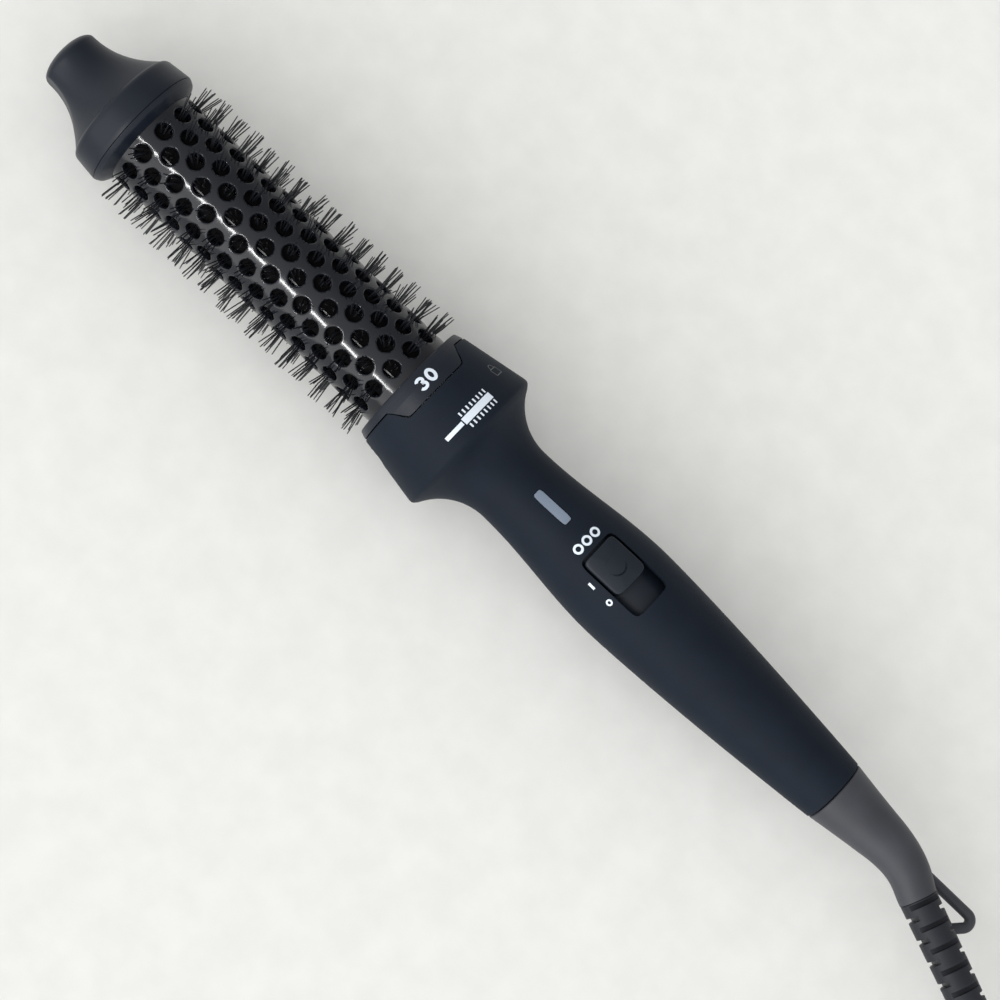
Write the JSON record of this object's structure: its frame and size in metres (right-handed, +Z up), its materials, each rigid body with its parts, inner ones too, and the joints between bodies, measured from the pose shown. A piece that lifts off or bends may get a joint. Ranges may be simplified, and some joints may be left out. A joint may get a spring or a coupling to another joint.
{
  "type": "heated curling brush",
  "caption": "Heated round hair brush: perforated barrel with bristles, cool tip, grip handle with sliding power switch, swivel tail with hanging loop, and a folded mains cord with plug.",
  "frame": {"origin": "middle of the brush on the surface it lies on, measured without the cord", "axes": "+X along the brush towards the cool tip, +Z up out of the power switch"},
  "size_m": [0.5745, 0.0624, 0.0461],
  "materials": {
    "satin_grey": "satin moulded",
    "barrel_black": "gloss ceramic coat",
    "bristle_nylon": "satin nylon",
    "heat_proof_plastic": "moulded",
    "heater_aluminium": "extruded",
    "heating_stone": "fired ceramic",
    "insulation_film": "amber film",
    "plated_steel": "zinc plated",
    "fuse_case": "drawn",
    "lead_insulation": "silicone sleeve",
    "contact_brass": "drawn",
    "handle_black": "soft-touch coat",
    "slider_black": "fine texture",
    "inner_black": "moulded",
    "board_green": "solder mask",
    "lens_grey": "frosted",
    "led_clear": "clear epoxy",
    "tail_grey": "satin moulded",
    "cord_grey": "satin jacket",
    "tie_black": "soft strap",
    "plug_black": "satin moulded",
    "pin_metal": "nickel plated"
  },
  "bodies": {
    "tail": {"tail_boot": "tail_grey", "swivel_spindle": "inner_black", "slip_rings": "contact_brass", "spindle_clip": "plated_steel", "hanging_loop": "tail_grey", "strain_relief": "tail_grey", "cord_inner": "cord_grey", "cord": "cord_grey", "cord_hank": "cord_grey", "cord_end": "cord_grey", "hank_tie": "tie_black", "plug_relief": "tail_grey", "plug_body": "plug_black", "plug_pins": "pin_metal"},
    "handle": {"handle_top_shell": "handle_black", "handle_bottom_shell": "handle_black", "shell_screws": "plated_steel", "head_socket": "heat_proof_plastic", "contact_sockets": "contact_brass", "circuit_board": "board_green", "board_screws": "plated_steel", "switch_body": "inner_black", "indicator_lens": "lens_grey", "indicator_led": "led_clear", "ion_generator": "inner_black", "handle_wires": "lead_insulation", "swivel_cup": "heat_proof_plastic", "swivel_contacts": "contact_brass", "release_spring": "plated_steel"},
    "brush_head": {"cool_tip": "satin_grey", "tip_ring": "satin_grey", "barrel": "barrel_black", "barrel_collar": "satin_grey", "front_hub": "heat_proof_plastic", "rear_hub": "heat_proof_plastic", "heater_core": "heater_aluminium", "ptc_heaters": "heating_stone", "electrode_plates": "heater_aluminium", "heater_insulation": "insulation_film", "tie_rod": "plated_steel", "thermal_fuse": "fuse_case", "thermostat": "plated_steel", "lead_wires": "lead_insulation", "contact_plug": "heat_proof_plastic", "contact_pins": "contact_brass", "bristle_strip_01": "bristle_nylon", "bristle_strip_02": "bristle_nylon", "bristle_strip_03": "bristle_nylon", "bristle_strip_04": "bristle_nylon", "bristle_strip_05": "bristle_nylon", "bristle_strip_06": "bristle_nylon", "bristle_strip_07": "bristle_nylon", "bristle_strip_08": "bristle_nylon", "bristle_strip_09": "bristle_nylon", "bristle_strip_10": "bristle_nylon", "bristle_strip_11": "bristle_nylon", "bristle_strip_12": "bristle_nylon"},
    "power_slider": {"power_slider": "slider_black", "switch_actuator": "inner_black"},
    "release_button": {"release_button": "handle_black"}
  },
  "joints": [
    {"name": "cord_swivel", "type": "hinge", "parent": "tail", "child": "handle", "pos_m": [-0.1153, 0, 0.02305], "axis": [1, 0, 0], "continuous": true},
    {"name": "head_release", "type": "slide", "parent": "handle", "child": "brush_head", "axis": [1, 0, 0], "range_m": [0, 0.03]},
    {"name": "power_switch", "type": "slide", "parent": "handle", "child": "power_slider", "axis": [-1, 0, 0], "range_m": [0, 0.006]},
    {"name": "release_press", "type": "slide", "parent": "handle", "child": "release_button", "axis": [0, -1, 0], "range_m": [0, 0.0012], "stiffness_N_per_m": 1500}
  ]
}
